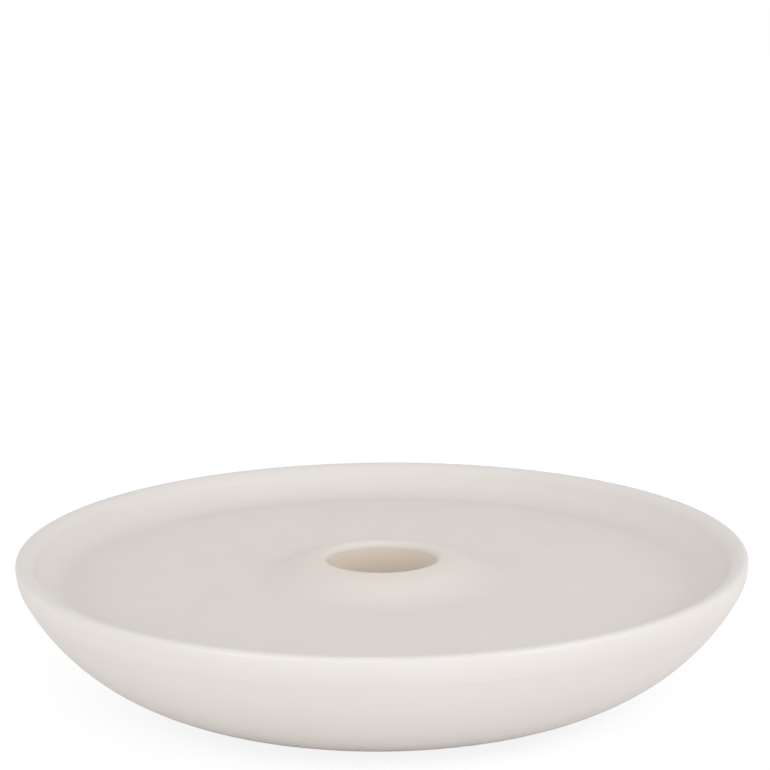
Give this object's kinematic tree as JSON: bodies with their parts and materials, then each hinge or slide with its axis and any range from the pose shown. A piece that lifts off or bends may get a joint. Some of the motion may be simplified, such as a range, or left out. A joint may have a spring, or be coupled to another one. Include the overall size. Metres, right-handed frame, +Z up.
{
  "type": "candle plate",
  "caption": "Shallow round ceramic candle plate with a thin rolled lip, a sunken floor, a raised central socket for a dinner candle and felt pads.",
  "frame": {"origin": "on the table under the centre of the plate, at the underside of the felt pads", "axes": "+Z up along the socket's axis, -Y towards the front seen in the picture, +X to its right"},
  "size_m": [0.15, 0.15, 0.029],
  "materials": {
    "ivory_glaze": "satin",
    "felt": "matte"
  },
  "bodies": {
    "root": {"plate_body": "ivory_glaze", "felt_pad_front_right": "felt", "felt_pad_back_right": "felt", "felt_pad_back_left": "felt", "felt_pad_front_left": "felt"}
  },
  "joints": []
}
